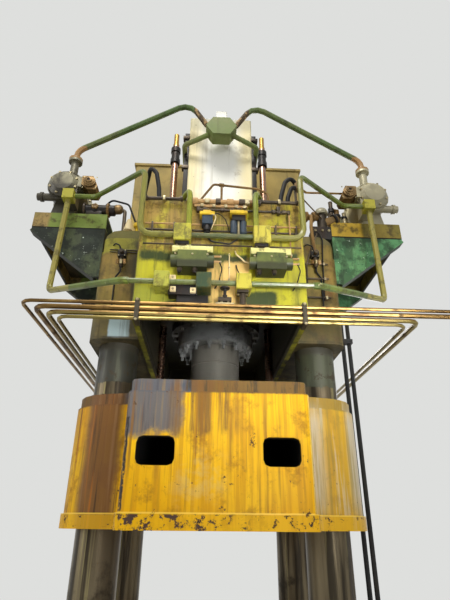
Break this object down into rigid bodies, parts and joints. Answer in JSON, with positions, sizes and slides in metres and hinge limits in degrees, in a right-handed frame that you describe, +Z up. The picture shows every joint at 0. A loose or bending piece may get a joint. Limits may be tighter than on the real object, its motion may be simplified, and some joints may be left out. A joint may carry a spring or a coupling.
{
  "type": "hydraulic press",
  "caption": "Large column-guided hydraulic press: slide and ram under a deep crown that carries pumps, tanks and piping; the slide strokes over a slotted bolster.",
  "frame": {"origin": "middle of the bed's underside, on the floor", "axes": "+Z up along the stroke, +X to the operator's right, +Y away from the operator, towards the rear"},
  "size_m": [5.3183, 4.834, 9.4803],
  "materials": {
    "yellow_paint": "worn semi-gloss paint, greasy",
    "olive_paint": "dull aged paint",
    "lime_paint": "aged semi-gloss paint, dusty",
    "green_paint": "semi-gloss paint",
    "cream_paint": "semi-gloss paint",
    "oily_steel": "ground steel under dark oil",
    "chrome": "polished",
    "black_steel": "blackened",
    "brass": "dull",
    "bronze": "cast, dull",
    "cast_grey": "machined and oily",
    "copper_pipe": "tarnished",
    "packing": "matte"
  },
  "bodies": {
    "frame": {"bed": "olive_paint", "oil_reservoir": "olive_paint", "crown": "lime_paint", "upper_header": "lime_paint", "pump_platform_left": "lime_paint", "pump_platform_right": "lime_paint", "motor_left": "green_paint", "motor_right": "green_paint", "arc_pipe_left": "green_paint", "arc_pipe_right": "green_paint", "delivery_pipe_left": "green_paint", "delivery_pipe_right": "green_paint", "pullback_pipe_left": "green_paint", "pullback_pipe_right": "green_paint", "spool_valve_left": "green_paint", "spool_valve_right": "green_paint", "pullback_cylinder_left": "green_paint", "pullback_cylinder_right": "green_paint", "top_manifold": "green_paint", "lower_header": "green_paint", "prefill_tank": "cream_paint", "breather_box": "cream_paint", "column_front_left": "oily_steel", "column_front_right": "oily_steel", "column_rear_left": "oily_steel", "column_rear_right": "oily_steel", "lower_nut_front_left": "black_steel", "lower_nut_front_right": "black_steel", "lower_nut_rear_left": "black_steel", "lower_nut_rear_right": "black_steel", "upper_nut_front_left": "black_steel", "upper_nut_front_right": "black_steel", "upper_nut_rear_left": "black_steel", "upper_nut_rear_right": "black_steel", "side_conduits": "black_steel", "control_housing_left": "bronze", "control_housing_right": "bronze", "bolster_plate": "cast_grey", "main_cylinder": "cast_grey", "gland_ring": "cast_grey", "prefill_valve": "cast_grey", "pump_left": "cast_grey", "pump_right": "cast_grey", "pipe_bundle": "copper_pipe", "ram_packing": "packing"},
    "ram_slide": {"slide": "yellow_paint", "main_ram": "chrome", "guide_bush_front_left": "bronze", "guide_bush_front_right": "bronze", "guide_bush_rear_left": "bronze", "guide_bush_rear_right": "bronze", "pullback_rod_left": "chrome", "pullback_rod_right": "chrome", "stop_collar_left": "black_steel", "stop_collar_right": "black_steel", "rod_cap_left": "brass", "rod_cap_right": "brass"},
    "left_shaft": {"drive_shaft_left": "black_steel"},
    "right_shaft": {"drive_shaft_right": "black_steel"}
  },
  "joints": [
    {"name": "slide_stroke", "type": "slide", "parent": "frame", "child": "ram_slide", "axis": [0, 0, 1], "range_m": [-0.9, 0]},
    {"name": "left_shaft_spin", "type": "hinge", "parent": "frame", "child": "left_shaft", "pos_m": [-2.24, -0.73, 7.07], "axis": [0, 1, 0], "continuous": true},
    {"name": "right_shaft_spin", "type": "hinge", "parent": "frame", "child": "right_shaft", "pos_m": [2.24, -0.73, 7.07], "axis": [0, 1, 0], "continuous": true}
  ]
}
